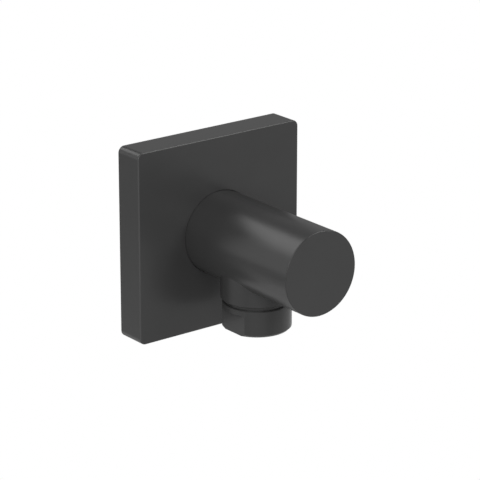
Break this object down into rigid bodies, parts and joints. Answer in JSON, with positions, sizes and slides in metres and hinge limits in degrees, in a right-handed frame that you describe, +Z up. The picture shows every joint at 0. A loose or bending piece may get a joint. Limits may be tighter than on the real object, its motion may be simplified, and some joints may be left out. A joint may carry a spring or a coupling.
{
  "type": "wall outlet elbow",
  "caption": "Matt black wall outlet elbow: square wall plate, round barrel and a downward hose thread with wrench flats, with a spring-loaded check valve in the outlet.",
  "frame": {"origin": "on the finished wall surface, on the axis of the barrel and of the wall nipple", "axes": "+Y into the wall, -Y into the room, +X to the right of a person who faces the wall, +Z up"},
  "size_m": [0.06, 0.07, 0.06],
  "materials": {
    "black_paint": "matt black powder coat on brass and zinc",
    "foam_rubber": "closed-cell foam rubber",
    "rubber": "moulded rubber",
    "brass": "bare turned brass",
    "stainless": "plain stainless steel",
    "acetal": "moulded white acetal",
    "acetal_dark": "moulded blue acetal"
  },
  "bodies": {
    "elbow": {"elbow_body": "black_paint", "wall_plate": "black_paint", "outlet_nipple": "black_paint", "plate_gasket": "foam_rubber", "plate_o_ring": "rubber", "inlet_washer": "rubber", "nipple_o_ring_front": "rubber", "nipple_o_ring_rear": "rubber", "outlet_o_ring": "rubber", "valve_o_ring": "rubber", "wall_nipple": "brass", "grub_screw": "stainless", "valve_spring": "stainless", "valve_housing": "acetal", "valve_guide": "acetal"},
    "poppet": {"valve_poppet": "acetal_dark", "valve_seal": "rubber"}
  },
  "joints": [
    {"name": "valve_lift", "type": "slide", "parent": "elbow", "child": "poppet", "axis": [0, 0, -1], "range_m": [0, 0.0025], "stiffness_N_per_m": 120, "springref_m": -0.0025, "deforming": ["valve_spring"]}
  ]
}
